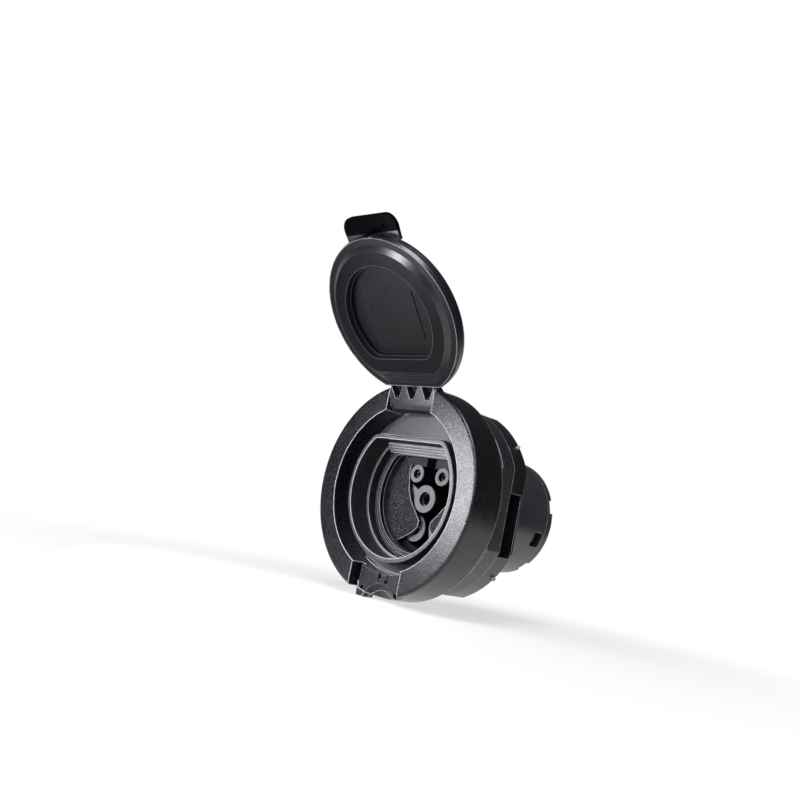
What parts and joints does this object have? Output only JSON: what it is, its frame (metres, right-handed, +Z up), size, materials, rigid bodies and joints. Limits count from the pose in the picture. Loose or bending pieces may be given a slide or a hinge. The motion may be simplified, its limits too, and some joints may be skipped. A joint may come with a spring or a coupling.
{
  "type": "ev charging socket",
  "caption": "Round charging inlet with a D-shaped plug shroud, female contacts behind two shutters, a hinged sealing lid, and a rear housing with a terminal barrel.",
  "frame": {"origin": "centre of the bezel's rear face, which seats on the panel", "axes": "+X right as seen from the front, +Y into the panel, +Z up towards the lid's hinge"},
  "size_m": [0.105, 0.1431, 0.1744],
  "materials": {
    "housing_plastic": "fine grain",
    "textured_plastic": "coarse grain",
    "lid_plastic": "satin",
    "carrier_plastic": "smooth",
    "seal_rubber": "matt",
    "plated_brass": "silver plated",
    "steel": "zinc plated"
  },
  "bodies": {
    "socket": {"front_bezel": "housing_plastic", "catch_plate": "textured_plastic", "panel_gasket": "seal_rubber", "front_housing": "housing_plastic", "mouth_seal": "seal_rubber", "contact_carrier": "carrier_plastic", "carrier_plate": "carrier_plastic", "keyway_bar": "carrier_plastic", "contact_retainer": "carrier_plastic", "retainer_screws": "steel", "terminal_screws": "steel", "left_shutter_pin": "steel", "right_shutter_pin": "steel", "left_shutter_spring": "steel", "right_shutter_spring": "steel", "rear_housing": "housing_plastic", "housing_screws": "steel", "terminal_barrel": "housing_plastic", "barrel_end_ring": "housing_plastic", "wire_seal": "seal_rubber", "hinge_pin": "steel", "hinge_spring": "steel", "contact_pe": "plated_brass", "contact_l1": "plated_brass", "contact_n": "plated_brass", "contact_l2": "plated_brass", "contact_l3": "plated_brass", "contact_pp": "plated_brass", "contact_cp": "plated_brass", "sleeve_pe": "carrier_plastic", "sleeve_l1": "carrier_plastic", "sleeve_n": "carrier_plastic", "sleeve_l2": "carrier_plastic", "sleeve_l3": "carrier_plastic", "sleeve_pp": "carrier_plastic", "sleeve_cp": "carrier_plastic"},
    "lid": {"lid_cover": "lid_plastic", "lid_liner": "lid_plastic", "lid_gasket": "seal_rubber"},
    "left_shutter": {"left_shutter": "textured_plastic"},
    "right_shutter": {"right_shutter": "textured_plastic"}
  },
  "joints": [
    {"name": "lid_hinge", "type": "hinge", "parent": "socket", "child": "lid", "pos_m": [0, -0.01535, 0.0438], "axis": [1, 0, 0], "range_deg": [0, 139.5], "stiffness_Nm_per_rad": 0.012, "springref_deg": -91.67},
    {"name": "left_shutter_pivot", "type": "hinge", "parent": "socket", "child": "left_shutter", "pos_m": [-0.0235, 0.0093, 0.021], "axis": [0, 1, 0], "range_deg": [0, 20.5], "stiffness_Nm_per_rad": 0.0006, "springref_deg": -34.38},
    {"name": "right_shutter_pivot", "type": "hinge", "parent": "socket", "child": "right_shutter", "pos_m": [0.0235, 0.0093, 0.021], "axis": [0, -1, 0], "range_deg": [0, 20.5], "stiffness_Nm_per_rad": 0.0006, "springref_deg": -34.38}
  ]
}
